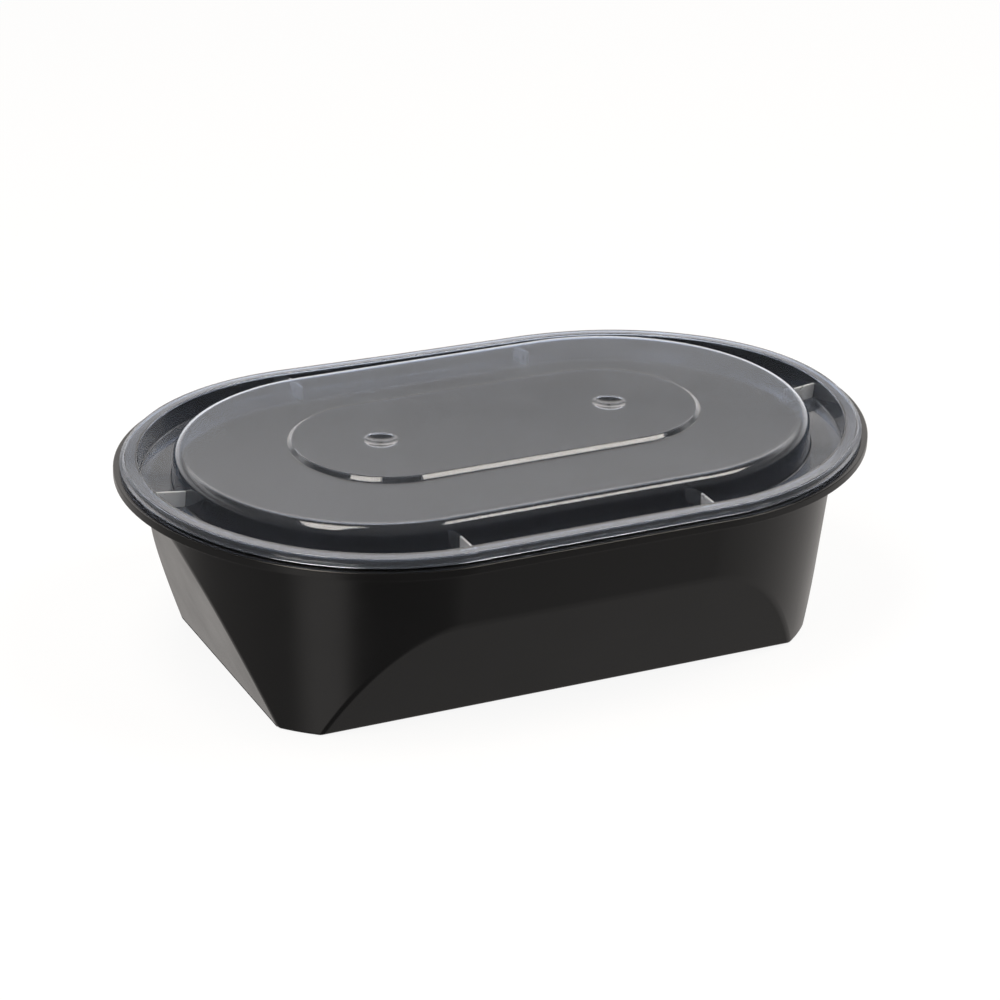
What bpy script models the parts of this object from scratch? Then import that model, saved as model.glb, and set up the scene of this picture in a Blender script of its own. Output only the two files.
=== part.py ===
"""Shut takeaway meal container: a black tub with faceted walls and a clear press-on lid.

Both pieces follow one outline, an obround: two half circles joined by straight sides.
A ring is that outline at one height, and each piece is a stack of rings that runs down
its outside and back along its inside. Named sizes are millimetres, the scene is metres.
The origin is the middle of the underside, X runs along the container and Z is up.
"""

import math
from collections import namedtuple

import bmesh
import bpy

MM = 0.001

# Outline and overall sizes
HALF_STRAIGHT = 39.0            # half of each straight side, the same for tub and rim
LID_RIM_RADIUS = 71.0           # outer radius of the lid's flat rim at the round ends
LID_RIM_HEIGHT = 60.9           # flat rim of the lid above the table
QUARTER_STEPS = 12              # facets in a quarter of the outline

# Tub walls
TUB_WALL = 0.8
TUB_FLOOR = 0.9
WALL_BASE_RADIUS = 59.4         # round ends of the wall, taken down to the table
WALL_DRAFT = 0.108              # outward run of the wall for each unit of height
WALL_TOP = 51.9                 # where the wall turns out to the collar
END_FACET_BASE = 84.0           # half length between the flat ends at the table
END_FACET_SLOPE = 0.40
SIDE_FACET_BASE = 47.3          # half width between the flat sides at the table
SIDE_FACET_SLOPE = 0.46
BASE_FILLET = 2.0
FILLET_STEPS = 3
SIDE_FACET_RINGS = 7            # rings from the fillet to the top of the side facets
END_FACET_RINGS = 4             # rings from there to the top of the end facets

# Tub collar, ledge and skirt
COLLAR_INNER = 68.4
COLLAR_OUTER = 69.2
COLLAR_FOOT = 53.3              # where the sloping step meets the collar, outside
BEAD_OUTER = 69.95
BEAD_TOP = 59.9
BEAD_ROUND = 0.35
LEDGE_TOP = 57.8
LEDGE_THICKNESS = 0.9
SKIRT_OUTER = 74.2
SKIRT_THICKNESS = 0.9
SKIRT_BOTTOM = 55.4
SKIRT_ROUND = 0.3

# Lid
LID_WALL = 0.7
RIM_INNER = 67.34               # where the flat rim ends and the channel begins
RIM_ROUND = 0.35
CHANNEL_FLOOR = 54.6
CHANNEL_OUTER = 66.6            # outer wall of the channel at its floor
CHANNEL_ROUND = 0.5
DOME_WALL = 57.6                # wall of the dome at the channel floor
DOME_DRAFT = 0.07
DOME_TOP = 64.0
DOME_SHOULDER = 3.1             # radius of the dome's shoulder
SHOULDER_STEPS = 4
LIP_TOP = 59.0                  # small lip round the lid's edge
LIP_BOTTOM = 58.15
LIP_OUTER = 72.6
PLATEAU_HALF_STRAIGHT = 34.7
PLATEAU_RADIUS = 27.2
PLATEAU_TOP = 65.1
PLATEAU_STEP_RUN = 1.4
GATE_MARK_PLACE = 36.6          # distance of the two round dimples from the middle
GATE_MARK_RADIUS = 5.0
GATE_MARK_DEPTH = 0.9
GATE_MARK_SIDES = 20
GATE_MARK_RINGS = 3
RIB_TOP = 59.2
RIB_THICKNESS = 0.8
RIB_PLACE = 37.4                # ribs on the long sides, from the middle
RIB_OVERLAP = 0.55              # how far a rib runs into the walls that it joins

Ring = namedtuple("Ring", "radius height half_straight end_reach side_reach")
UNCUT = 1000.0                  # reach of a facet plane that doesn't cut the outline


def ring(radius, height, half_straight=HALF_STRAIGHT, end_reach=UNCUT, side_reach=UNCUT):
    """One outline, cut by flat ends at end_reach and flat sides at side_reach."""
    return Ring(radius, height, half_straight, end_reach, side_reach)


def quarter_points(outline):
    """Points of the outline's arc from its flat end to its flat side, in the +X +Y quarter."""
    end_cosine = min(1.0, (outline.end_reach - outline.half_straight) / outline.radius)
    side_sine = min(1.0, outline.side_reach / outline.radius)
    first = math.acos(end_cosine)
    last = math.asin(side_sine)
    points = []
    for step in range(QUARTER_STEPS + 1):
        angle = first + (last - first) * step / QUARTER_STEPS
        x = outline.half_straight + outline.radius * math.cos(angle)
        points.append((x, outline.radius * math.sin(angle)))
    return points


def outline_points(outline):
    """The whole outline, anticlockwise from the +X end."""
    right_back = quarter_points(outline)
    left_back = [(-x, y) for x, y in reversed(right_back)]
    left_front = [(-x, -y) for x, y in right_back]
    right_front = [(x, -y) for x, y in reversed(right_back)]
    return right_back + left_back + left_front + right_front


def add_ring(bm, outline):
    """Vertices of one ring."""
    height = outline.height * MM
    return [bm.verts.new((x * MM, y * MM, height)) for x, y in outline_points(outline)]


def solid_from_rings(name, rings):
    """Closed solid whose skin runs through the rings in order, capped at both ends."""
    bm = bmesh.new()
    loops = [add_ring(bm, outline) for outline in rings]
    count = len(loops[0])
    for lower, upper in zip(loops, loops[1:]):
        for index in range(count):
            following = (index + 1) % count
            bm.faces.new((lower[index], lower[following], upper[following], upper[index]))
    bm.faces.new(list(reversed(loops[0])))
    bm.faces.new(loops[-1])
    bmesh.ops.remove_doubles(bm, verts=bm.verts, dist=0.000001)
    bmesh.ops.dissolve_degenerate(bm, dist=0.000001, edges=bm.edges)
    bmesh.ops.recalc_face_normals(bm, faces=bm.faces)
    mesh = bpy.data.meshes.new(name)
    bm.to_mesh(mesh)
    bm.free()
    return link_object(name, mesh)


def link_object(name, mesh):
    """Object with this mesh, in the scene."""
    thing = bpy.data.objects.new(name, mesh)
    bpy.context.scene.collection.objects.link(thing)
    return thing


def shade(thing, crease_degrees):
    """Smooth shading that keeps the edges sharper than the given angle."""
    thing.data.shade_smooth()
    thing.data.set_sharp_from_angle(angle=math.radians(crease_degrees))


def plastic(name, colour, roughness):
    """Principled material with no metal in it."""
    material = bpy.data.materials.new(name)
    material.use_nodes = True
    shader = material.node_tree.nodes["Principled BSDF"]
    shader.inputs["Base Color"].default_value = colour
    shader.inputs["Roughness"].default_value = roughness
    shader.inputs["Metallic"].default_value = 0.0
    shader.inputs["Alpha"].default_value = colour[3]
    material.diffuse_color = colour
    return material


def spaced(first, last, steps):
    """Evenly spaced values after the first, up to and with the last."""
    return [first + (last - first) * step / steps for step in range(1, steps + 1)]


# Tub
def wall_ring(height, inset, drop=0.0):
    """Ring of the tapered wall at a height, its skins moved in by an inset square to them.

    drop is a further inset, level, that rounds the foot of the wall.
    """
    radius = WALL_BASE_RADIUS + WALL_DRAFT * height - inset * math.hypot(1.0, WALL_DRAFT) - drop
    end = END_FACET_BASE + END_FACET_SLOPE * height - inset * math.hypot(1.0, END_FACET_SLOPE) - drop
    side = SIDE_FACET_BASE + SIDE_FACET_SLOPE * height - inset * math.hypot(1.0, SIDE_FACET_SLOPE) - drop
    return ring(radius, height, end_reach=end, side_reach=side)


def facet_top(base, slope, start, inset):
    """Height at which a facet plane runs out of the tapered wall, moved in by an inset."""
    gap = start - base + inset * (math.hypot(1.0, slope) - math.hypot(1.0, WALL_DRAFT))
    return gap / (slope - WALL_DRAFT)


def wall_rings(floor, inset, fillet):
    """Rings of the wall from its foot to its top, with the foot rounded by the fillet."""
    rings = []
    for step in range(FILLET_STEPS):
        angle = 0.5 * math.pi * step / FILLET_STEPS
        height = floor + fillet * (1.0 - math.cos(angle))
        drop = fillet * (1.0 - math.sin(angle))
        rings.append(wall_ring(height, inset, drop))
    side_top = facet_top(SIDE_FACET_BASE, SIDE_FACET_SLOPE, WALL_BASE_RADIUS, inset)
    end_start = HALF_STRAIGHT + WALL_BASE_RADIUS
    end_top = facet_top(END_FACET_BASE, END_FACET_SLOPE, end_start, inset)
    rings.append(wall_ring(floor + fillet, inset))
    rings += [wall_ring(height, inset) for height in spaced(floor + fillet, side_top, SIDE_FACET_RINGS)]
    rings += [wall_ring(height, inset) for height in spaced(side_top, end_top, END_FACET_RINGS)]
    return rings


def tub_outside():
    """Rings up the outside of the tub to the top of its bead."""
    skirt_inner = SKIRT_OUTER - SKIRT_THICKNESS
    ledge_under = LEDGE_TOP - LEDGE_THICKNESS
    rings = wall_rings(0.0, 0.0, BASE_FILLET)
    rings.append(wall_ring(WALL_TOP, 0.0))
    rings += [
        ring(COLLAR_OUTER, COLLAR_FOOT),
        ring(COLLAR_OUTER, ledge_under),
        ring(skirt_inner, ledge_under),
        ring(skirt_inner, SKIRT_BOTTOM),
        ring(SKIRT_OUTER - SKIRT_ROUND, SKIRT_BOTTOM),
        ring(SKIRT_OUTER, SKIRT_BOTTOM + SKIRT_ROUND),
        ring(SKIRT_OUTER, LEDGE_TOP - SKIRT_ROUND),
        ring(SKIRT_OUTER - SKIRT_ROUND, LEDGE_TOP),
        ring(BEAD_OUTER, LEDGE_TOP),
        ring(BEAD_OUTER, BEAD_TOP - BEAD_ROUND),
        ring(BEAD_OUTER - BEAD_ROUND, BEAD_TOP),
    ]
    return rings


def tub_inside():
    """Rings up the inside of the tub to the top of its bead."""
    rings = wall_rings(TUB_FLOOR, TUB_WALL, BASE_FILLET - TUB_WALL)
    rings.append(wall_ring(WALL_TOP + 0.5 * TUB_WALL, TUB_WALL))
    rings += [
        ring(COLLAR_INNER, COLLAR_FOOT + 0.5 * TUB_WALL),
        ring(COLLAR_INNER, BEAD_TOP - BEAD_ROUND),
        ring(COLLAR_INNER + BEAD_ROUND, BEAD_TOP),
    ]
    return rings


def make_tub():
    """Black tub, open at the top, in one piece with its collar, ledge and skirt."""
    rings = tub_outside() + list(reversed(tub_inside()))
    tub = solid_from_rings("tub", rings)
    tub.data.materials.append(plastic("black_plastic", (0.012, 0.012, 0.013, 1.0), 0.3))
    shade(tub, 16.0)
    return tub


# Lid
def shoulder_rings(centre_radius, centre_height, bend):
    """Rings of the dome's rounded shoulder, from its flat top out to its wall."""
    rings = []
    for step in range(SHOULDER_STEPS + 1):
        angle = 0.5 * math.pi * (1.0 - step / SHOULDER_STEPS)
        radius = centre_radius + bend * math.cos(angle)
        rings.append(ring(radius, centre_height + bend * math.sin(angle)))
    return rings


def lid_skin(inset):
    """Rings of the lid from its middle out to the rim, for the face moved down by the inset."""
    shoulder_height = DOME_TOP - DOME_SHOULDER
    dome_wall_top = DOME_WALL - DOME_DRAFT * (shoulder_height - CHANNEL_FLOOR)
    plateau_foot = PLATEAU_RADIUS + PLATEAU_STEP_RUN
    floor = CHANNEL_FLOOR - inset
    rings = [
        ring(PLATEAU_RADIUS - 0.3 * inset, PLATEAU_TOP - inset, PLATEAU_HALF_STRAIGHT),
        ring(plateau_foot - 0.3 * inset, DOME_TOP - inset, PLATEAU_HALF_STRAIGHT),
    ]
    bend = DOME_SHOULDER - inset
    rings += shoulder_rings(dome_wall_top - DOME_SHOULDER, shoulder_height, bend)
    rings += [
        ring(DOME_WALL - inset, floor + CHANNEL_ROUND),
        ring(DOME_WALL - inset + CHANNEL_ROUND, floor),
        ring(CHANNEL_OUTER + inset - CHANNEL_ROUND, floor),
        ring(CHANNEL_OUTER + inset, floor + CHANNEL_ROUND),
        ring(RIM_INNER + inset, LID_RIM_HEIGHT - inset - RIM_ROUND),
        ring(RIM_INNER + inset + RIM_ROUND, LID_RIM_HEIGHT - inset),
    ]
    return rings


def lid_edge():
    """Rings round the lid's outer edge, from the flat rim over the lip and back under."""
    inner = LID_RIM_RADIUS - LID_WALL
    return [
        ring(LID_RIM_RADIUS - RIM_ROUND, LID_RIM_HEIGHT),
        ring(LID_RIM_RADIUS, LID_RIM_HEIGHT - RIM_ROUND),
        ring(LID_RIM_RADIUS, LIP_TOP),
        ring(LIP_OUTER, LIP_TOP),
        ring(LIP_OUTER, LIP_BOTTOM),
        ring(inner, LIP_BOTTOM),
        ring(inner, LID_RIM_HEIGHT - LID_WALL),
    ]


def disc_tool(name, place, shape):
    """Closed round tool on a vertical axis at the place; shape lists (radius, height) pairs."""
    bm = bmesh.new()
    loops = []
    for radius, height in shape:
        loop = []
        for side in range(GATE_MARK_SIDES):
            angle = 2.0 * math.pi * side / GATE_MARK_SIDES
            x = place + radius * math.cos(angle)
            loop.append(bm.verts.new((x * MM, radius * math.sin(angle) * MM, height * MM)))
        loops.append(loop)
    for lower, upper in zip(loops, loops[1:]):
        for side in range(GATE_MARK_SIDES):
            following = (side + 1) % GATE_MARK_SIDES
            bm.faces.new((lower[side], lower[following], upper[following], upper[side]))
    bm.faces.new(list(reversed(loops[0])))
    bm.faces.new(loops[-1])
    bmesh.ops.recalc_face_normals(bm, faces=bm.faces)
    mesh = bpy.data.meshes.new(name)
    bm.to_mesh(mesh)
    bm.free()
    return link_object(name, mesh)


def dish_shape(rim_radius, depth, surface, top):
    """Profile of a shallow round dish below a surface, closed by a straight side up to top."""
    bend = (rim_radius ** 2 + depth ** 2) / (2.0 * depth)
    shape = []
    for step in range(1, GATE_MARK_RINGS + 1):
        radius = rim_radius * step / GATE_MARK_RINGS
        sag = math.sqrt(bend ** 2 - radius ** 2) - (bend - depth)
        shape.append((radius, surface - sag))
    shape.append((rim_radius, top))
    return shape


def rib_tool(name, inner, outer, across):
    """Closed block for one rib, between two radii along the X axis or along Y at a place.

    across is None for a rib on the long axis, else the rib's distance along X.
    """
    half = 0.5 * RIB_THICKNESS
    low = CHANNEL_FLOOR - 0.5 * LID_WALL
    if across is None:
        xs = sorted((inner, outer))
        ys = (-half, half)
    else:
        xs = (across - half, across + half)
        ys = sorted((inner, outer))
    bm = bmesh.new()
    bmesh.ops.create_cube(bm, size=1.0)
    for vert in bm.verts:
        x = xs[0] if vert.co.x < 0.0 else xs[1]
        y = ys[0] if vert.co.y < 0.0 else ys[1]
        z = low if vert.co.z < 0.0 else RIB_TOP
        vert.co = (x * MM, y * MM, z * MM)
    bmesh.ops.recalc_face_normals(bm, faces=bm.faces)
    mesh = bpy.data.meshes.new(name)
    bm.to_mesh(mesh)
    bm.free()
    return link_object(name, mesh)


def rib_tools():
    """Blocks for the six ribs across the channel, two at the ends and four along the sides."""
    inner = DOME_WALL - RIB_OVERLAP
    outer = CHANNEL_OUTER + RIB_OVERLAP
    tools = []
    for side in (-1.0, 1.0):
        start = side * (HALF_STRAIGHT + inner)
        stop = side * (HALF_STRAIGHT + outer)
        tools.append(rib_tool("rib_tool", start, stop, None))
        for end in (-1.0, 1.0):
            tools.append(rib_tool("rib_tool", side * inner, side * outer, end * RIB_PLACE))
    return tools


def join_or_cut(thing, tools, operation):
    """Apply one exact Boolean with each tool in turn, then remove the tools."""
    bpy.context.view_layer.objects.active = thing
    for tool in tools:
        modifier = thing.modifiers.new("tool", 'BOOLEAN')
        modifier.solver = 'EXACT'
        modifier.operation = operation
        modifier.object = tool
        bpy.ops.object.modifier_apply(modifier=modifier.name)
        bpy.data.objects.remove(tool, do_unlink=True)


def make_lid():
    """Clear lid in one piece: dome, channel, rim, lip, ribs and two moulding dimples."""
    rings = lid_skin(0.0) + lid_edge() + list(reversed(lid_skin(LID_WALL)))
    lid = solid_from_rings("lid", rings)
    under = PLATEAU_TOP - LID_WALL
    bosses = []
    dishes = []
    for place in (-GATE_MARK_PLACE, GATE_MARK_PLACE):
        boss = dish_shape(GATE_MARK_RADIUS + 0.4, GATE_MARK_DEPTH, under, under + 0.5 * LID_WALL)
        bosses.append(disc_tool("boss_tool", place, boss))
        dish = dish_shape(GATE_MARK_RADIUS, GATE_MARK_DEPTH, PLATEAU_TOP, PLATEAU_TOP + 1.0)
        dishes.append(disc_tool("dish_tool", place, dish))
    join_or_cut(lid, rib_tools() + bosses, 'UNION')
    join_or_cut(lid, dishes, 'DIFFERENCE')
    lid.data.materials.clear()
    lid.data.materials.append(plastic("clear_plastic", (0.62, 0.65, 0.68, 0.45), 0.15))
    shade(lid, 16.0)
    return lid


def main():
    """Empty the scene and build both pieces."""
    for thing in list(bpy.data.objects):
        bpy.data.objects.remove(thing, do_unlink=True)
    make_tub()
    make_lid()


main()
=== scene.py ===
"""Looks of a shut takeaway meal container: black moulded tub, clear press-on lid and a pale studio.

Both pieces follow one outline, an obround: two half circles joined by straight sides.
Each wall is a section drawn in the XZ plane, spun through a quarter turn, pulled straight
to the middle and mirrored both ways. Last of all the rim is bent a little, as the real one is.
Lengths are metres, written as so many times MM.
"""

import math

import bmesh
import bpy
from bpy.props import FloatProperty, PointerProperty, StringProperty
from mathutils import Matrix, Vector


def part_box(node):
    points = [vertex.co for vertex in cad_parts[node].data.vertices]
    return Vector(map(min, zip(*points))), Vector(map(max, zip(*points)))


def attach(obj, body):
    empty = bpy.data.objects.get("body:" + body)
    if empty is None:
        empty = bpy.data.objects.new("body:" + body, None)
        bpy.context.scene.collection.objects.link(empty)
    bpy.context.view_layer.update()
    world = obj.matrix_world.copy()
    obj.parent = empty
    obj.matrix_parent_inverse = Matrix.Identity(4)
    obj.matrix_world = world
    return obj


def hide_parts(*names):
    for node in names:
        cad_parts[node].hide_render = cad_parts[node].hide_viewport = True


bl_info = {
    "name": "Takeaway Meal Container",
    "version": (1, 0, 0),
    "blender": (4, 5, 0),
    "location": "3D View > Sidebar > Container",
    "description": "Moulds an oval tub and its clear press-on lid, and sets the studio round them",
    "category": "Add Mesh",
}

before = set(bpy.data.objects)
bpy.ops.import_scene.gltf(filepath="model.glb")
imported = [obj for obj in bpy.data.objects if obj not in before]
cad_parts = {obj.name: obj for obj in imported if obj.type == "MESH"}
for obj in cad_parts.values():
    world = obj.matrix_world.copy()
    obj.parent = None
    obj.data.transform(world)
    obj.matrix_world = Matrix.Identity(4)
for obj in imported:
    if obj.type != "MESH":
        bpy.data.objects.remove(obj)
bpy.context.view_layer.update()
TUB_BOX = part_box("tub")
LID_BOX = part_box("lid")

MM = 0.001
SKIRT_RADIUS = TUB_BOX[1].y                 # outer radius of the tub's skirt at the round ends
HALF_STRAIGHT = TUB_BOX[1].x - TUB_BOX[1].y
BEAD_TOP = TUB_BOX[1].z
LIP_RADIUS = LID_BOX[1].y                   # outer radius of the lid's lip
PLATEAU_TOP = LID_BOX[1].z
BODY = "root"
SMOOTH_ANGLE = math.radians(28.0)
WELD_DISTANCE = 0.005 * MM                  # points this near to each other become one
CUT_DISTANCE = 0.001 * MM                   # points this near to a cutting plane are on it
HEIGHT_MATCH = 0.02 * MM                    # faces and edges this near to a height belong to it
FLAT_MATCH = 0.99999                        # least match of the normals of a facet and its plane
LEVEL_MATCH = 0.999                         # least upright part of the normal of a level face


# Sizes and colours that a user would change
def length(name, description, default, low=0.0, high=1.0):
    """Length property in metres."""
    return FloatProperty(name=name, description=description, default=default, min=low, max=high,
                         precision=5, unit='LENGTH', subtype='DISTANCE')


def slope(name, description, default):
    """Outward run of a wall for each unit of height."""
    return FloatProperty(name=name, description=description, default=default, min=-1.0, max=1.0)


class TubSizes(bpy.types.PropertyGroup):
    """Sizes of the black tub"""
    wall: length("Wall", "Thickness of the tub's wall", 0.8 * MM)
    floor: length("Floor", "Thickness of the tub's floor", 0.9 * MM)
    base_radius: length("Base radius", "Round ends of the wall at the table", SKIRT_RADIUS - 14.8 * MM)
    draft: slope("Draft", "Outward lean of the wall", 0.108)
    wall_top: length("Wall top", "Height where the wall turns out to the collar", BEAD_TOP - 8.0 * MM)
    end_reach: length("End facet", "Half length between the flat ends at the table", 84.0 * MM)
    end_slope: slope("End slope", "Outward lean of the flat ends", 0.40)
    side_reach: length("Side facet", "Half width between the flat sides at the table", 47.3 * MM)
    side_slope: slope("Side slope", "Outward lean of the flat sides", 0.46)
    edge_round: length("Edge round", "Rounding of the base and of the facets' edges", 1.1 * MM)


class LidSizes(bpy.types.PropertyGroup):
    """Sizes of the clear lid"""
    wall: length("Wall", "Thickness of the lid's skin", 0.7 * MM)
    rim_height: length("Rim height", "Flat rim above the table", BEAD_TOP + 1.0 * MM)
    channel_floor: length("Channel floor", "Top of the channel's floor", BEAD_TOP - 5.3 * MM)
    dome_radius: length("Dome radius", "Dome wall at the channel floor", LIP_RADIUS - 15.0 * MM)
    dome_top: length("Dome top", "Flat top of the dome", PLATEAU_TOP - 1.1 * MM)
    shoulder: length("Shoulder", "Radius of the dome's shoulder", 3.1 * MM)
    plateau_radius: length("Plateau radius", "Round ends of the raised middle", 27.2 * MM)
    plateau_straight: length("Plateau straight", "Half of its straight sides", 34.7 * MM)
    dimple_place: length("Dimple place", "Moulding dimples from the middle", 36.6 * MM)
    dimple_radius: length("Dimple radius", "Radius of a moulding dimple", 5.0 * MM)
    rib_place: length("Rib place", "Side ribs from the middle", 37.4 * MM)
    rib_top: length("Rib top", "Height of the ribs' top edge", BEAD_TOP - 0.7 * MM)
    rib_thickness: length("Rib thickness", "Thickness of a rib", 0.8 * MM)
    rib_overlap: length("Rib overlap", "How far a rib runs into the walls that it joins", 0.55 * MM)


class PlasticColours(bpy.types.PropertyGroup):
    """Colours of the two plastics, as sRGB hex codes"""
    tub_black: StringProperty(name="Tub", description="Black of the tub", default="#0a0a0a")
    tub_dust: StringProperty(name="Tub haze", description="Where its gloss is duller", default="#0e0e0f")
    lid_tint: StringProperty(name="Lid", description="Tint of the clear lid", default="#d4ddec")
    rib_tint: StringProperty(name="Ribs", description="Milky tint of the lid's ribs", default="#e2e7ee")


class StudioSizes(bpy.types.PropertyGroup):
    """Camera and lights"""
    distance: length("Camera distance", "Camera from the point it looks at", 1063.671 * MM, 0.1, 10.0)
    azimuth: FloatProperty(name="Azimuth", description="Turn of the camera round the container",
                           default=math.radians(-25.622), subtype='ANGLE')
    elevation: FloatProperty(name="Elevation", description="Height of the camera as an angle",
                             default=math.radians(24.163), subtype='ANGLE')
    roll: FloatProperty(name="Roll", description="Tilt of the camera", default=math.radians(1.229),
                        subtype='ANGLE')
    lens: FloatProperty(name="Lens", description="Focal length in millimetres", default=130.61, min=10.0)
    light_height: length("Light height", "Soft boxes above the table", 1.2, 0.2, 5.0)


# Modelling by operators
def deselect_everything():
    """Nothing selected, in object mode."""
    bpy.ops.object.select_all(action='DESELECT')


def select_only(thing):
    """Make one object selected and active."""
    deselect_everything()
    thing.select_set(True)
    bpy.context.view_layer.objects.active = thing


def edit(thing):
    """Edit mode on one object with nothing selected; returns its edit mesh."""
    select_only(thing)
    bpy.ops.object.mode_set(mode='EDIT')
    bpy.ops.mesh.select_mode(type='VERT')
    bpy.ops.mesh.select_all(action='DESELECT')
    return bmesh.from_edit_mesh(thing.data)


def leave_edit():
    """Back to object mode."""
    bpy.ops.object.mode_set(mode='OBJECT')


def pick(mesh, kind, test):
    """Select the faces, edges or verts that pass the test, in the matching select mode."""
    bpy.ops.mesh.select_mode(type=kind)
    bpy.ops.mesh.select_all(action='DESELECT')
    things = {'VERT': mesh.verts, 'EDGE': mesh.edges, 'FACE': mesh.faces}[kind]
    chosen = [thing for thing in things if test(thing)]
    for thing in chosen:
        thing.select_set(True)
    mesh.select_flush_mode()
    if not chosen:
        raise RuntimeError("nothing to select")
    return chosen


def rounded(corners, steps):
    """Path through (radius, height, bend) corners, each bend drawn as an arc with that many steps."""
    points = [Vector(corner[:2]) for corner in corners]
    path = []
    for index, here in enumerate(points):
        bend = corners[index][2]
        if bend <= 0.0 or index in (0, len(corners) - 1):
            path.append(here)
            continue
        back = (points[index - 1] - here).normalized()
        ahead = (points[index + 1] - here).normalized()
        half = 0.5 * back.angle(ahead)
        centre = here + (back + ahead).normalized() * bend / math.sin(half)
        run = bend / math.tan(half)
        first = here + back * run - centre
        last = here + ahead * run - centre
        for step in range(steps + 1):
            path.append(centre + first.slerp(last, step / steps).normalized() * bend)
    return path


def sweep(name, path, half_straight, quarter_steps):
    """Wall whose section is the path, run right round the obround outline."""
    deselect_everything()
    bpy.ops.mesh.primitive_plane_add(size=MM, enter_editmode=True)
    wall = bpy.context.object
    wall.name = name
    bpy.ops.mesh.select_all(action='SELECT')
    bpy.ops.mesh.merge(type='CENTER')
    bpy.ops.mesh.select_mode(type='VERT')
    bpy.ops.mesh.select_all(action='SELECT')
    places = [Vector((half_straight + point.x, 0.0, point.y)) for point in path]
    bpy.ops.transform.translate(value=places[0])
    for here, there in zip(places, places[1:]):
        bpy.ops.mesh.extrude_region_move(TRANSFORM_OT_translate={"value": there - here})
    bpy.ops.mesh.select_all(action='SELECT')
    bpy.ops.mesh.spin(steps=quarter_steps, angle=0.5 * math.pi, center=(half_straight, 0.0, 0.0),
                      axis=(0.0, 0.0, 1.0))
    bpy.ops.mesh.extrude_region_move(TRANSFORM_OT_translate={"value": (-half_straight, 0.0, 0.0)})
    leave_edit()
    halves = wall.modifiers.new("halves", 'MIRROR')
    halves.use_axis = (True, True, False)
    halves.merge_threshold = 2.0 * WELD_DISTANCE
    bpy.ops.object.modifier_apply(modifier=halves.name)
    return wall


def join(parts, name):
    """One object from several, with their shared rings welded and faces outwards."""
    deselect_everything()
    for part in parts:
        part.select_set(True)
    bpy.context.view_layer.objects.active = parts[0]
    bpy.ops.object.join()
    whole = bpy.context.object
    whole.name = name
    whole.data.name = name
    edit(whole)
    bpy.ops.mesh.select_all(action='SELECT')
    bpy.ops.mesh.remove_doubles(threshold=WELD_DISTANCE)
    bpy.ops.mesh.normals_make_consistent(inside=False)
    leave_edit()
    return whole


def check_closed(thing):
    """Stop with a message if an edge isn't shared by two faces, or the faces point inwards."""
    mesh = bmesh.new()
    mesh.from_mesh(thing.data)
    loose = [edge for edge in mesh.edges if len(edge.link_faces) != 2]
    volume = mesh.calc_volume(signed=True)
    mesh.free()
    if loose or volume <= 0.0:
        raise RuntimeError(f"{thing.name} isn't closed: {len(loose)} edges")


def finish_surface(thing):
    """Smooth shading with flat faces kept flat."""
    select_only(thing)
    bpy.ops.object.shade_smooth_by_angle(angle=SMOOTH_ANGLE)
    weights = thing.modifiers.new("flat faces", 'WEIGHTED_NORMAL')
    weights.keep_sharp = True
    weights.weight = 50
    bpy.ops.object.modifier_apply(modifier=weights.name)


# Warp

# The real rim isn't quite level: its ends spring up and its back long side is drawn down.
END_LIFT = 1.3 * MM
END_CURVE = 1.5                             # power of the rise from the level part to the ends
LEVEL_HALF = 45.0 * MM                      # the rim is level this far each way from the middle
BACK_DROP = 1.4 * MM
BACK_FULL = 0.8 * LIP_RADIUS                # the drop is whole from here to the back
DROP_MIDDLE = 45.0 * MM                     # place along the back side where the drop is deepest
DROP_REACH = 130.0 * MM                     # distance along from there to where it ends
TUB_STILL = 40.0 * MM                       # the tub's wall stays as it is below this height
TUB_FOLLOWS = 55.0 * MM                     # and moves with the rim above this one
DOME_STILL = LIP_RADIUS - 14.4 * MM         # the lid stays as it is within this radius
LID_FOLLOWS = LIP_RADIUS - 6.5 * MM         # and moves with the rim outside this one


def smooth_step(value, start, end):
    """0 before the start, 1 after the end, and an even ease in between."""
    part = min(max((value - start) / (end - start), 0.0), 1.0)
    return part * part * (3.0 - 2.0 * part)


def rim_rise(place):
    """How much higher than level the rim stands at a place round it."""
    end = max(abs(place.x) - LEVEL_HALF, 0.0) / (HALF_STRAIGHT + LIP_RADIUS - LEVEL_HALF)
    back = smooth_step(place.y, 0.0, BACK_FULL)
    along = math.cos(0.5 * math.pi * min(abs(place.x - DROP_MIDDLE) / DROP_REACH, 1.0)) ** 2
    return END_LIFT * end ** END_CURVE - BACK_DROP * back * along


def warp(thing, share):
    """Move a piece's points up or down with the rim, each by its share of the rim's rise."""
    for vert in thing.data.vertices:
        vert.co.z += rim_rise(vert.co) * share(vert.co)
    thing.data.update()


# Tub
TUB_TURN_STEPS = 40                         # faces in a quarter turn
TUB_BEND_STEPS = 4                          # faces in a bend of the section
LEAST_ROUND = 0.3 * MM                      # rounding inside where the wall uses up the outer one
LEAST_CORNER = math.radians(5.0)            # edges of a facet flatter than this aren't rounded


def cut_facet(thing, place, normal):
    """Cut the wall off outside a plane and close the cut with a flat face."""
    edit(thing)
    bpy.ops.mesh.select_all(action='SELECT')
    bpy.ops.mesh.bisect(plane_co=place, plane_no=normal, use_fill=True, clear_outer=True,
                        threshold=CUT_DISTANCE)
    leave_edit()


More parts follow.
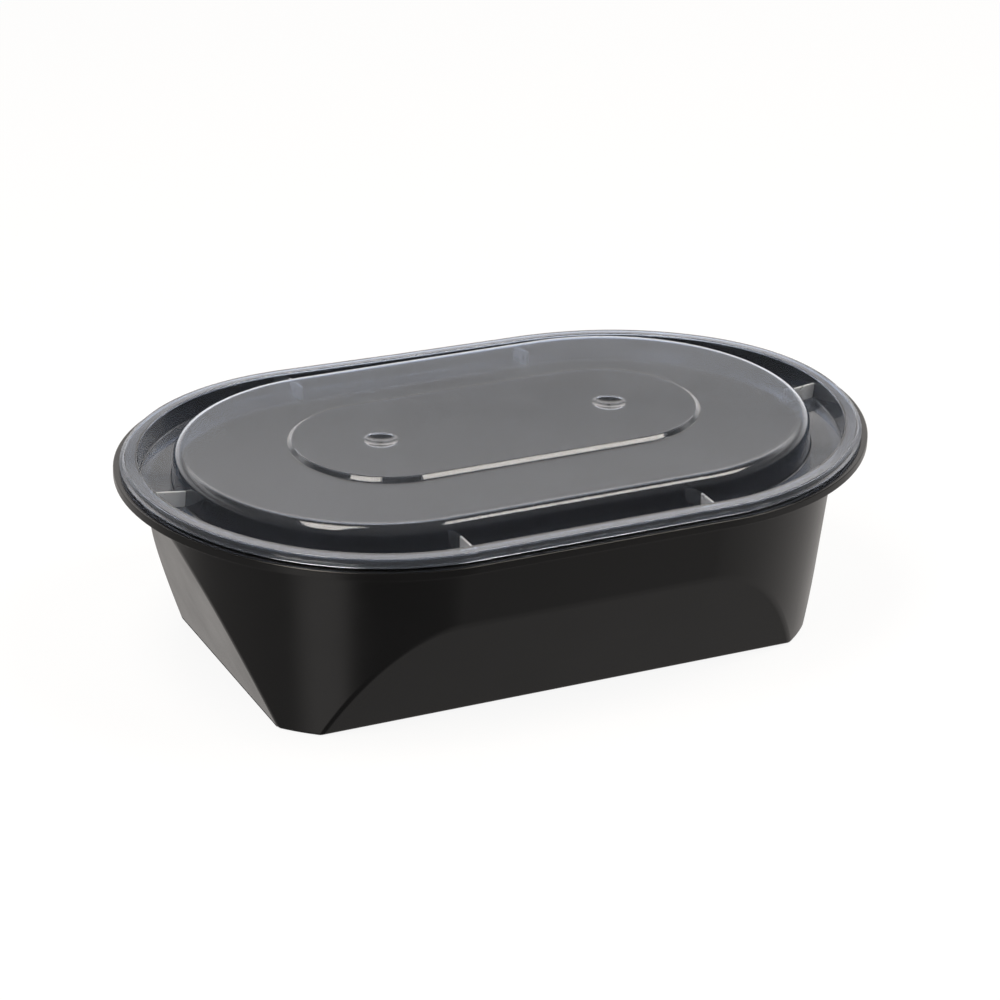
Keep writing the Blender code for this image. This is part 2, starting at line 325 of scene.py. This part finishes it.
def tapered_shell(name, sizes, floor, inset):
    """Lower wall of the tub with its four facets and its floor, every skin moved in by the inset."""
    bottom = sizes.base_radius + sizes.draft * floor - inset * math.hypot(1.0, sizes.draft)
    top_height = sizes.wall_top + 0.5 * inset
    top = sizes.base_radius + sizes.draft * top_height - inset * math.hypot(1.0, sizes.draft)
    section = [Vector((bottom, floor)), Vector((top, top_height))]
    shell = sweep(name, section, HALF_STRAIGHT, TUB_TURN_STEPS)
    mesh = edit(shell)
    pick(mesh, 'EDGE', lambda e: e.is_boundary
         and all(v.co.z < floor + HEIGHT_MATCH for v in e.verts))
    bpy.ops.mesh.edge_face_add()
    leave_edit()
    planes = []
    for side in (-1.0, 1.0):
        reach = sizes.end_reach - inset * math.hypot(1.0, sizes.end_slope)
        planes.append((Vector((side * reach, 0.0, 0.0)), Vector((side, 0.0, -sizes.end_slope))))
        reach = sizes.side_reach - inset * math.hypot(1.0, sizes.side_slope)
        planes.append((Vector((0.0, side * reach, 0.0)), Vector((0.0, side, -sizes.side_slope))))
    for place, normal in planes:
        cut_facet(shell, place, normal)
    mesh = edit(shell)
    flats = [plane[1].normalized() for plane in planes] + [Vector((0.0, 0.0, -1.0))]

    def is_flat(face):
        return any(abs(face.normal.dot(flat)) > FLAT_MATCH for flat in flats)

    pick(mesh, 'EDGE', lambda e: len(e.link_faces) == 2 and any(is_flat(f) for f in e.link_faces)
         and e.calc_face_angle() > LEAST_CORNER)
    bpy.ops.mesh.bevel(offset=max(sizes.edge_round - inset, LEAST_ROUND), segments=4,
                       affect='EDGES', clamp_overlap=False)
    leave_edit()
    return shell, top, top_height


def collar_corners(sizes, outer, inner):
    """Section of the tub's rim, from the outside of the wall over the bead to the inside."""
    skirt_outer = SKIRT_RADIUS
    skirt_inner = skirt_outer - 0.9 * MM
    collar_outer = skirt_outer - 5.0 * MM
    collar_inner = collar_outer - sizes.wall
    bead_outer = skirt_outer - 4.25 * MM
    ledge_top = BEAD_TOP - 2.1 * MM
    ledge_under = ledge_top - 0.9 * MM
    skirt_foot = BEAD_TOP - 4.5 * MM
    foot = BEAD_TOP - 6.6 * MM
    return [
        (outer[0], outer[1], 0.0),
        (collar_outer, foot, 0.5 * MM),
        (collar_outer, ledge_under, 0.2 * MM),
        (skirt_inner, ledge_under, 0.25 * MM),
        (skirt_inner, skirt_foot, 0.15 * MM),
        (skirt_outer, skirt_foot, 0.25 * MM),
        (skirt_outer, ledge_top, 0.35 * MM),
        (bead_outer, ledge_top, 0.2 * MM),
        (bead_outer, BEAD_TOP, 0.35 * MM),
        (collar_inner, BEAD_TOP, 0.35 * MM),
        (collar_inner, foot + 0.5 * sizes.wall, 0.6 * MM),
        (inner[0], inner[1], 0.0),
    ]


class CONTAINER_OT_mould_tub(bpy.types.Operator):
    """Model the black tub: tapered wall with flat facets, collar, ledge, skirt and bead"""
    bl_idname = "container.mould_tub"
    bl_label = "Mould Tub"

    def execute(self, context):
        sizes = context.scene.container_tub
        outside, *outer = tapered_shell("tub_wall", sizes, 0.0, 0.0)
        inside, *inner = tapered_shell("tub_lining", sizes, sizes.floor, sizes.wall)
        section = rounded(collar_corners(sizes, outer, inner), TUB_BEND_STEPS)
        rim = sweep("tub_rim", section, HALF_STRAIGHT, TUB_TURN_STEPS)
        tub = join([rim, outside, inside], "tub_moulding")
        check_closed(tub)
        warp(tub, lambda place: smooth_step(place.z, TUB_STILL, TUB_FOLLOWS))
        finish_surface(tub)
        tub.data.materials.clear()
        tub.data.materials.append(black_polypropylene(context.scene.container_colours))
        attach(tub, BODY)
        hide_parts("tub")
        return {'FINISHED'}


# Lid
LID_TURN_STEPS = 48                         # faces in a quarter turn
LID_BEND_STEPS = 8                          # faces in a bend of the main section
PLATEAU_BEND_STEPS = 5                      # and in one of the step round the plateau
DIMPLE_SIDES = 48


def lid_corners(sizes):
    """Section of the lid's upper skin, from the edge of the dome's flat top out to the lip's edge."""
    rim_outer = LIP_RADIUS - 1.6 * MM
    rim_inner = rim_outer - 3.66 * MM
    rim_fall = 0.22 * MM
    channel_outer = rim_inner - 0.74 * MM
    lip_root = rim_outer + 0.45 * MM
    lip_root_height = BEAD_TOP - 0.6 * MM
    lip_edge = LIP_RADIUS - 0.25 * MM
    lip_edge_height = BEAD_TOP - 0.8 * MM
    draft = 0.07
    wall_top = sizes.dome_radius - draft * (sizes.dome_top - sizes.channel_floor)
    margin = 1.0 * MM
    return [
        (wall_top - sizes.shoulder - margin, sizes.dome_top, 0.0),
        (wall_top, sizes.dome_top, sizes.shoulder),
        (sizes.dome_radius, sizes.channel_floor, 0.5 * MM),
        (channel_outer, sizes.channel_floor, 0.5 * MM),
        (rim_inner, sizes.rim_height, 0.3 * MM),
        (rim_outer, sizes.rim_height - rim_fall, 0.3 * MM),
        (lip_root, lip_root_height, 0.08 * MM),
        (lip_edge, lip_edge_height, 0.0),
    ]


def plateau_corners(sizes):
    """Section of the step round the raised middle, from the plateau's edge down to the dome."""
    foot = sizes.plateau_radius + 1.4 * MM
    margin = 1.2 * MM
    bend = 0.7 * MM
    return [
        (sizes.plateau_radius - margin, PLATEAU_TOP, 0.0),
        (sizes.plateau_radius, PLATEAU_TOP, bend),
        (foot, sizes.dome_top, bend),
        (foot + margin, sizes.dome_top, 0.0),
    ]


def underside(corners, wall):
    """The same section one wall further in, with bends that suit an even wall."""
    least_bend = 0.1 * MM
    added_bend = 0.4 * wall
    points = [Vector(corner[:2]) for corner in corners]
    runs = [(ahead - here).normalized() for here, ahead in zip(points, points[1:])]
    sides = [Vector((run.y, -run.x)) for run in runs]
    moved = []
    for index, here in enumerate(points):
        bend = corners[index][2]
        before = sides[max(index - 1, 0)]
        after = sides[min(index, len(sides) - 1)]
        place = here + (before + after) * wall / (1.0 + before.dot(after))
        turn = 0.0
        if 0 < index < len(corners) - 1:
            turn = runs[index - 1].x * runs[index].y - runs[index - 1].y * runs[index].x
        if turn < 0.0:
            bend = max(bend - wall, least_bend)
        elif turn > 0.0:
            bend = bend + added_bend
        moved.append((place.x, place.y, bend))
    return moved


# Radius and depth in mm of the rings of a dimple, from the plateau in to the pip in its middle
DIMPLE_RINGS = (
    (5.5, 0.0), (5.0, 0.02), (4.7, 0.10), (4.2, 0.26), (3.4, 0.47), (2.4, 0.66), (1.3, 0.76),
    (0.75, 0.77), (0.6, 0.62), (0.4, 0.55),
)
DIMPLE_DRAWN = 5.0                          # radius in mm of the dimple that the rings draw


def dimple(name, sizes, place, height):
    """Round dish pressed into the plateau, with the gate's small pip in the middle."""
    outer_radius = DIMPLE_RINGS[0][0] * sizes.dimple_radius / DIMPLE_DRAWN
    deselect_everything()
    bpy.ops.mesh.primitive_circle_add(vertices=DIMPLE_SIDES, radius=outer_radius,
                                      enter_editmode=True, location=(place, 0.0, height))
    dish = bpy.context.object
    dish.name = name
    bpy.ops.mesh.select_all(action='SELECT')
    for (radius, depth), (next_radius, next_depth) in zip(DIMPLE_RINGS, DIMPLE_RINGS[1:]):
        drop = (depth - next_depth) * MM
        bpy.ops.mesh.extrude_region_move(TRANSFORM_OT_translate={"value": (0.0, 0.0, drop)})
        ratio = next_radius / radius
        bpy.ops.transform.resize(value=(ratio, ratio, 1.0), center_override=(place, 0.0, 0.0))
    bpy.ops.mesh.edge_face_add()
    leave_edit()
    select_only(dish)
    bpy.ops.object.transform_apply(location=True, rotation=True, scale=True)
    return dish


def rib_fin(sizes):
    """Fin across the channel at the right-hand end: a thin plate with rounded top edges."""
    low = sizes.channel_floor - 0.5 * sizes.wall
    inner = sizes.dome_radius - sizes.rib_overlap
    channel_outer = LIP_RADIUS - 6.0 * MM
    outer = channel_outer + sizes.rib_overlap
    edge_round = 0.22 * MM
    deselect_everything()
    middle = Vector((HALF_STRAIGHT + 0.5 * (inner + outer), 0.0, 0.5 * (low + sizes.rib_top)))
    bpy.ops.mesh.primitive_cube_add(size=1.0, enter_editmode=True, location=middle,
                                    scale=(outer - inner, sizes.rib_thickness, sizes.rib_top - low))
    fin = bpy.context.object
    fin.name = "lid_rib"
    mesh = bmesh.from_edit_mesh(fin.data)
    pick(mesh, 'EDGE', lambda e: all(v.co.z > 0.0 for v in e.verts))
    bpy.ops.mesh.bevel(offset=edge_round, segments=4, affect='EDGES')
    leave_edit()
    select_only(fin)
    bpy.ops.object.transform_apply(location=True, rotation=True, scale=True)
    return fin


def rib_places(sizes):
    """Turn and shift that take the right-hand fin to each of the six places."""
    places = [(0.0, Vector((0.0, 0.0, 0.0))), (math.pi, Vector((0.0, 0.0, 0.0)))]
    for side in (-1.0, 1.0):
        for turn in (0.5 * math.pi, -0.5 * math.pi):
            inward = -HALF_STRAIGHT * math.copysign(1.0, turn)
            places.append((turn, Vector((side * sizes.rib_place, inward, 0.0))))
    return places


def weld(thing, tool):
    """Add a closed tool's solid to a closed solid."""
    select_only(thing)
    union = thing.modifiers.new("weld", 'BOOLEAN')
    union.operation = 'UNION'
    union.solver = 'EXACT'
    union.material_mode = 'TRANSFER'
    union.object = tool
    bpy.ops.object.modifier_apply(modifier=union.name)
    select_only(tool)
    bpy.ops.object.delete()


def add_ribs(lid, sizes, material):
    """Weld a copy of the fin to the lid at each place."""
    fin = rib_fin(sizes)
    fin.data.materials.append(material)
    for turn, shift in rib_places(sizes):
        copy = fin.copy()
        copy.data = fin.data.copy()
        bpy.context.scene.collection.objects.link(copy)
        copy.data.transform(Matrix.Translation(shift) @ Matrix.Rotation(turn, 4, 'Z'))
        weld(lid, copy)
    select_only(fin)
    bpy.ops.object.delete()


class CONTAINER_OT_mould_lid(bpy.types.Operator):
    """Model the clear lid: dome, plateau, dimples, channel with its ribs, rim and lip"""
    bl_idname = "container.mould_lid"
    bl_label = "Mould Lid"

    def execute(self, context):
        sizes = context.scene.container_lid
        polished = clear_polypropylene(context.scene.container_colours)
        hazy = core_side_polypropylene(context.scene.container_colours)
        upper = lid_corners(sizes)
        upper_step = plateau_corners(sizes)
        lower = underside(upper, sizes.wall)
        lower_step = underside(upper_step, sizes.wall)
        skins = ((0.0, polished, upper, upper_step), (sizes.wall, hazy, lower, lower_step))
        lower_edge = Vector(lower[-1][:2])
        parts = []
        for drop, material, skin, step_skin in skins:
            section = rounded(skin, LID_BEND_STEPS)
            if skin is upper:
                section.append(lower_edge)
            step_section = rounded(step_skin, PLATEAU_BEND_STEPS)
            pieces = [sweep("lid_skin", section, HALF_STRAIGHT, LID_TURN_STEPS),
                      sweep("lid_step", step_section, sizes.plateau_straight, LID_TURN_STEPS)]
            for side in (-1.0, 1.0):
                pieces.append(dimple("lid_dimple", sizes, side * sizes.dimple_place, PLATEAU_TOP - drop))
            for piece in pieces:
                piece.data.materials.append(material)
            parts.extend(pieces)
        lid = join(parts, "lid_moulding")
        for height in (sizes.dome_top, PLATEAU_TOP,
                       sizes.dome_top - sizes.wall, PLATEAU_TOP - sizes.wall):
            mesh = edit(lid)
            pick(mesh, 'EDGE', lambda e: e.is_boundary
                 and all(abs(v.co.z - height) < HEIGHT_MATCH for v in e.verts))
            bpy.ops.mesh.fill()
            leave_edit()
        edit(lid)
        bpy.ops.mesh.select_all(action='SELECT')
        bpy.ops.mesh.normals_make_consistent(inside=False)
        leave_edit()
        self.sort_flats(lid, sizes, polished, hazy)
        add_ribs(lid, sizes, milky_polypropylene(context.scene.container_colours))
        check_closed(lid)
        warp(lid, self.rim_share)
        finish_surface(lid)
        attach(lid, BODY)
        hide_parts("lid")
        return {'FINISHED'}

    def rim_share(self, place):
        """Share of the rim's rise: none on the dome, all of it past the channel."""
        across = math.hypot(max(abs(place.x) - HALF_STRAIGHT, 0.0), place.y)
        return smooth_step(across, DOME_STILL, LID_FOLLOWS)

    def sort_flats(self, lid, sizes, polished, hazy):
        """Give the flats filled in between the skins the finish of their own side."""
        slots = [slot.material for slot in lid.material_slots]
        heights = ((sizes.dome_top, polished), (PLATEAU_TOP, polished),
                   (sizes.dome_top - sizes.wall, hazy), (PLATEAU_TOP - sizes.wall, hazy))
        for face in lid.data.polygons:
            for height, material in heights:
                near = abs(face.center.z - height) < HEIGHT_MATCH
                if near and abs(face.normal.z) > LEVEL_MATCH:
                    face.material_index = slots.index(material)


# Plastics
PLASTIC_IOR = 1.49
LID_CLEARNESS = 0.965                       # the rest is milky haze
RIB_CLEARNESS = 0.45
NOISE_SPREAD = {"From Min": 0.3, "From Max": 0.7}
# Sockets of the Mix node by number, since several of them share a name
NUMBER_A = 2
NUMBER_B = 3
COLOUR_A = 6
COLOUR_B = 7
COLOUR_MIXED = 2
WHITE = (1.0, 1.0, 1.0, 1.0)


def linear(code):
    """Linear colour with alpha from an sRGB hex code."""
    channels = [int(code[place:place + 2], 16) / 255.0 for place in (1, 3, 5)]
    mixed = [c / 12.92 if c <= 0.04045 else ((c + 0.055) / 1.055) ** 2.4 for c in channels]
    return (*mixed, 1.0)


def add_node(tree, kind, settings=None, inputs=None, links=None):
    """Node with its settings, fixed inputs and links, each link as input: (node, output)."""
    node = tree.nodes.new(kind)
    for key, value in (settings or {}).items():
        setattr(node, key, value)
    for key, value in (inputs or {}).items():
        node.inputs[key].default_value = value
    for key, (source, output) in (links or {}).items():
        tree.links.new(source.outputs[output], node.inputs[key])
    return node


def new_material(name):
    """Empty node material; returns it and its tree."""
    material = bpy.data.materials.new(name)
    material.use_nodes = True
    material.node_tree.nodes.clear()
    return material, material.node_tree


def black_polypropylene(colours):
    """Injection-moulded polypropylene with carbon black: deep, even, softly glossy."""
    material, tree = new_material("injection_moulded_black_polypropylene")
    place = add_node(tree, "ShaderNodeTexCoord")
    cloud = add_node(tree, "ShaderNodeTexNoise", {}, {"Scale": 1.0 / (22.0 * MM), "Detail": 3.0},
                     {"Vector": (place, "Object")})
    ripple = add_node(tree, "ShaderNodeTexNoise", {}, {"Scale": 1.0 / (6.0 * MM), "Detail": 2.0},
                      {"Vector": (place, "Object")})
    tone = add_node(tree, "ShaderNodeMix", {"data_type": 'RGBA'},
                    {COLOUR_A: linear(colours.tub_black), COLOUR_B: linear(colours.tub_dust)},
                    {"Factor": (cloud, "Fac")})
    gloss = add_node(tree, "ShaderNodeMapRange", {}, {**NOISE_SPREAD, "To Min": 0.16, "To Max": 0.24},
                     {"Value": (cloud, "Fac")})
    bump = add_node(tree, "ShaderNodeBump", {}, {"Strength": 0.12, "Distance": 0.02 * MM},
                    {"Height": (ripple, "Fac")})
    shader = add_node(tree, "ShaderNodeBsdfPrincipled", {}, {"IOR": PLASTIC_IOR},
                      {"Base Color": (tone, COLOUR_MIXED), "Roughness": (gloss, "Result"),
                       "Normal": (bump, "Normal")})
    add_node(tree, "ShaderNodeOutputMaterial", {}, {}, {"Surface": (shader, "BSDF")})
    return material


def clarified_plastic(name, tint, clearness, cloud_size, detail, roughness):
    """Clarified polypropylene, clear but for a milky rest, with its roughness in soft clouds."""
    material, tree = new_material(name)
    place = add_node(tree, "ShaderNodeTexCoord")
    cloud = add_node(tree, "ShaderNodeTexNoise", {}, {"Scale": 1.0 / cloud_size, "Detail": detail},
                     {"Vector": (place, "Object")})
    gloss = add_node(tree, "ShaderNodeMapRange", {},
                     {**NOISE_SPREAD, "To Min": roughness[0], "To Max": roughness[1]},
                     {"Value": (cloud, "Fac")})
    shader = add_node(tree, "ShaderNodeBsdfPrincipled", {},
                      {"Base Color": linear(tint), "IOR": PLASTIC_IOR,
                       "Transmission Weight": clearness},
                      {"Roughness": (gloss, "Result")})
    add_node(tree, "ShaderNodeOutputMaterial", {}, {}, {"Surface": (shader, "BSDF")})
    return material


def clear_polypropylene(colours):
    """Upper side of the lid, moulded against polished steel: clear, with hard bright edges."""
    return clarified_plastic("clarified_polypropylene", colours.lid_tint, LID_CLEARNESS,
                             9.0 * MM, 2.0, (0.02, 0.06))


def core_side_polypropylene(colours):
    """Underside of the lid, from the mould's core: the same plastic with a duller, hazier face."""
    return clarified_plastic("clarified_polypropylene_core_side", colours.lid_tint, LID_CLEARNESS,
                             14.0 * MM, 3.0, (0.07, 0.12))


def milky_polypropylene(colours):
    """The ribs: both faces come off the core side, so they look like frosted, milky fins."""
    return clarified_plastic("clarified_polypropylene_ribs", colours.rib_tint, RIB_CLEARNESS,
                             4.0 * MM, 2.0, (0.25, 0.35))


# Studio

# Light by direction, as rows of (degrees, radiance). The rows named LIGHT go by the turn from the
# front towards the right, and those named FALL or HEIGHT by the rise above level. The table's two
# rows are multiplied, and so are the card's. The room's single row is added to them.
TABLE_LIGHT = (
    (-180.0, 0.55), (-150.0, 0.46), (-120.0, 0.27), (-70.0, 0.25), (-64.0, 0.50), (-58.0, 0.72),
    (-40.0, 0.72), (-34.0, 0.24), (-27.0, 0.13), (20.0, 0.15), (36.0, 0.40), (76.0, 0.52), (96.0, 0.56),
    (120.0, 0.58), (150.0, 0.52), (180.0, 0.55),
)
TABLE_FALL = ((-90.0, 0.6), (-64.0, 0.60), (-45.0, 1.0), (-4.0, 1.0), (3.0, 0.0), (90.0, 0.0))
CARD_LIGHT = (
    (-180.0, 0.54), (-150.0, 0.38), (-110.0, 0.12), (-80.0, 0.0), (50.0, 0.0), (90.0, 0.14),
    (120.0, 0.48), (140.0, 0.62), (150.0, 0.63), (155.0, 0.57), (160.0, 0.64), (180.0, 0.54),
)
CARD_HEIGHT = (
    (-90.0, 0.0), (-4.0, 0.0), (3.0, 2.3), (14.0, 2.1), (20.0, 1.10), (21.5, 0.93), (22.6, 0.78),
    (23.8, 1.28), (26.0, 1.45), (28.5, 2.8), (34.0, 3.0), (38.0, 1.2), (44.0, 0.0), (90.0, 0.0),
)
ROOM_HEIGHT = ((-90.0, 0.0), (-4.0, 0.0), (3.0, 0.10), (90.0, 0.10))
WARM_LIGHT = "#fffaf6"                      # colour of those three together
WARM_LAMP = "#fff6ea"                       # colour of the soft boxes
# Name, place in X and Y, width, depth, turn in degrees and power in watts
SOFT_BOXES = (
    ("soft_box_right", 0.79, -0.44, 0.83, 0.60, 0.0, 12.4),
    ("soft_box_left", -0.76, -0.44, 1.50, 0.43, 45.0, 16.2),
)
FLOOR_SIZE = 6.0
FLOOR_GREY = (0.12, 0.12, 0.12, 1.0)
FLOOR_GLOW = 0.9
SENSOR_WIDTH = 36.0                         # millimetres
# The camera faces a point over the origin and is then moved sideways and down without turning
AIM_HEIGHT = 40.0 * MM
SHIFT_RIGHT = 1.519 * MM
SHIFT_DOWN = 0.176 * MM


def camera_vectors(studio):
    """Direction from the container back to the camera, and right and up without its roll."""
    around = studio.azimuth
    above = studio.elevation
    level_part = math.cos(above)
    back = Vector((math.sin(around) * level_part, -math.cos(around) * level_part, math.sin(above)))
    level = (-back).cross(Vector((0.0, 0.0, 1.0))).normalized()
    rise = level.cross(-back)
    return back, level, rise


class CONTAINER_OT_set_stage(bpy.types.Operator):
    """Set the pale floor, the soft lights and the camera"""
    bl_idname = "container.set_stage"
    bl_label = "Set Stage"

    def execute(self, context):
        studio = context.scene.container_studio
        self.add_floor()
        self.add_world(context.scene)
        self.add_soft_boxes(context.scene, studio)
        self.add_camera(context.scene, studio)
        context.scene.view_settings.view_transform = 'Standard'
        return {'FINISHED'}

    def add_floor(self):
        """Pale lit table that the container stands on."""
        deselect_everything()
        bpy.ops.mesh.primitive_plane_add(size=FLOOR_SIZE)
        floor = bpy.context.object
        floor.name = "studio_floor"
        floor.visible_glossy = False
        material, tree = new_material("lit_white_card")
        shader = add_node(tree, "ShaderNodeBsdfPrincipled", {},
                          {"Base Color": FLOOR_GREY, "Roughness": 1.0, "Specular IOR Level": 0.0,
                           "Emission Color": WHITE, "Emission Strength": FLOOR_GLOW})
        add_node(tree, "ShaderNodeOutputMaterial", {}, {}, {"Surface": (shader, "BSDF")})
        floor.data.materials.append(material)

    def add_world(self, scene):
        """Surroundings by direction: the white card behind, the lit table round it, dark above."""
        world = bpy.data.worlds.new("studio_world")
        scene.world = world
        world.use_nodes = True
        tree = world.node_tree
        tree.nodes.clear()
        place = add_node(tree, "ShaderNodeTexCoord")
        parts = add_node(tree, "ShaderNodeSeparateXYZ", {}, {}, {"Vector": (place, "Generated")})
        forward = add_node(tree, "ShaderNodeMath", {"operation": 'MULTIPLY'}, {1: -1.0},
                           {0: (parts, "Y")})
        around = add_node(tree, "ShaderNodeMath", {"operation": 'ARCTAN2'}, {},
                          {0: (parts, "X"), 1: (forward, 0)})
        turn = add_node(tree, "ShaderNodeMapRange", {}, {"From Min": -math.pi, "From Max": math.pi},
                        {"Value": (around, 0)})
        above = add_node(tree, "ShaderNodeMath", {"operation": 'ARCSINE'}, {}, {0: (parts, "Z")})
        rise = add_node(tree, "ShaderNodeMapRange", {},
                        {"From Min": -0.5 * math.pi, "From Max": 0.5 * math.pi},
                        {"Value": (above, 0)})
        ramps = []
        for angle, whole, stops in ((turn, 360.0, TABLE_LIGHT), (rise, 180.0, TABLE_FALL),
                                    (turn, 360.0, CARD_LIGHT), (rise, 180.0, CARD_HEIGHT),
                                    (rise, 180.0, ROOM_HEIGHT)):
            ramp = add_node(tree, "ShaderNodeValToRGB", {}, {}, {"Fac": (angle, "Result")})
            self.place_stops(ramp.color_ramp.elements, whole, stops)
            ramps.append(ramp)
        table, under, card, card_height, room = ramps
        below = add_node(tree, "ShaderNodeMath", {"operation": 'MULTIPLY'}, {},
                         {0: (table, "Color"), 1: (under, "Color")})
        behind = add_node(tree, "ShaderNodeMath", {"operation": 'MULTIPLY_ADD'}, {},
                          {0: (card, "Color"), 1: (card_height, "Color"), 2: (room, "Color")})
        whole = add_node(tree, "ShaderNodeMath", {"operation": 'ADD'}, {},
                         {0: (below, 0), 1: (behind, 0)})
        path = add_node(tree, "ShaderNodeLightPath")
        seen = add_node(tree, "ShaderNodeMix", {"data_type": 'FLOAT'}, {NUMBER_B: 1.0},
                        {"Factor": (path, "Is Camera Ray"), NUMBER_A: (whole, 0)})
        warmth = add_node(tree, "ShaderNodeMix", {"data_type": 'RGBA'},
                          {COLOUR_A: linear(WARM_LIGHT), COLOUR_B: WHITE},
                          {"Factor": (path, "Is Camera Ray")})
        background = add_node(tree, "ShaderNodeBackground", {}, {},
                              {"Color": (warmth, COLOUR_MIXED), "Strength": (seen, 0)})
        add_node(tree, "ShaderNodeOutputWorld", {}, {}, {"Surface": (background, "Background")})

    def place_stops(self, elements, whole, stops):
        """Make a ramp's stops from a row of light over that many degrees in all."""
        while len(elements) < len(stops):
            elements.new(0.5)
        for element, (angle, value) in zip(elements, stops):
            element.position = angle / whole + 0.5
        for element, (angle, value) in zip(elements, stops):
            element.color = (value, value, value, 1.0)

    def add_soft_boxes(self, scene, studio):
        """Two soft boxes overhead, a square one to the right and a strip to the left."""
        for name, x, y, width, depth, turn, power in SOFT_BOXES:
            data = bpy.data.lights.new(name, 'AREA')
            data.shape = 'RECTANGLE'
            data.size = width
            data.size_y = depth
            data.energy = power
            data.color = linear(WARM_LAMP)[:3]
            lamp = bpy.data.objects.new(name, data)
            scene.collection.objects.link(lamp)
            lamp.location = (x, y, studio.light_height)
            lamp.rotation_euler = (0.0, 0.0, math.radians(turn))

    def add_camera(self, scene, studio):
        """Camera at the photograph's angle."""
        back, level, rise = camera_vectors(studio)
        data = bpy.data.cameras.new("studio_camera")
        data.lens = studio.lens
        data.sensor_width = SENSOR_WIDTH
        camera = bpy.data.objects.new("studio_camera", data)
        scene.collection.objects.link(camera)
        aim = Vector((0.0, 0.0, AIM_HEIGHT))
        place = aim + back * studio.distance + level * SHIFT_RIGHT - rise * SHIFT_DOWN
        right = level * math.cos(studio.roll) + rise * math.sin(studio.roll)
        up = rise * math.cos(studio.roll) - level * math.sin(studio.roll)
        turn = camera.matrix_world.copy()
        for row in range(3):
            turn[row][0] = right[row]
            turn[row][1] = up[row]
            turn[row][2] = back[row]
            turn[row][3] = place[row]
        camera.matrix_world = turn
        scene.camera = camera


class VIEW3D_PT_container(bpy.types.Panel):
    """Container settings and steps"""
    bl_label = "Takeaway Meal Container"
    bl_space_type = 'VIEW_3D'
    bl_region_type = 'UI'
    bl_category = "Container"

    def draw(self, context):
        layout = self.layout
        for group in (context.scene.container_tub, context.scene.container_lid,
                      context.scene.container_colours, context.scene.container_studio):
            box = layout.box()
            for key in group.__annotations__:
                box.prop(group, key)
        for step in STEPS:
            layout.operator(step.bl_idname)


GROUPS = {
    "container_tub": TubSizes,
    "container_lid": LidSizes,
    "container_colours": PlasticColours,
    "container_studio": StudioSizes,
}
STEPS = (CONTAINER_OT_mould_tub, CONTAINER_OT_mould_lid, CONTAINER_OT_set_stage)


def register():
    """Register the settings, the steps and the panel."""
    for name, group in GROUPS.items():
        bpy.utils.register_class(group)
        setattr(bpy.types.Scene, name, PointerProperty(type=group))
    for step in STEPS:
        bpy.utils.register_class(step)
    bpy.utils.register_class(VIEW3D_PT_container)


def unregister():
    """Take them all away again."""
    bpy.utils.unregister_class(VIEW3D_PT_container)
    for step in reversed(STEPS):
        bpy.utils.unregister_class(step)
    for name, group in reversed(GROUPS.items()):
        delattr(bpy.types.Scene, name)
        bpy.utils.unregister_class(group)


def main():
    """Run every step."""
    register()
    bpy.ops.container.mould_tub()
    bpy.ops.container.mould_lid()
    bpy.ops.container.set_stage()


if __name__ == "__main__":
    main()
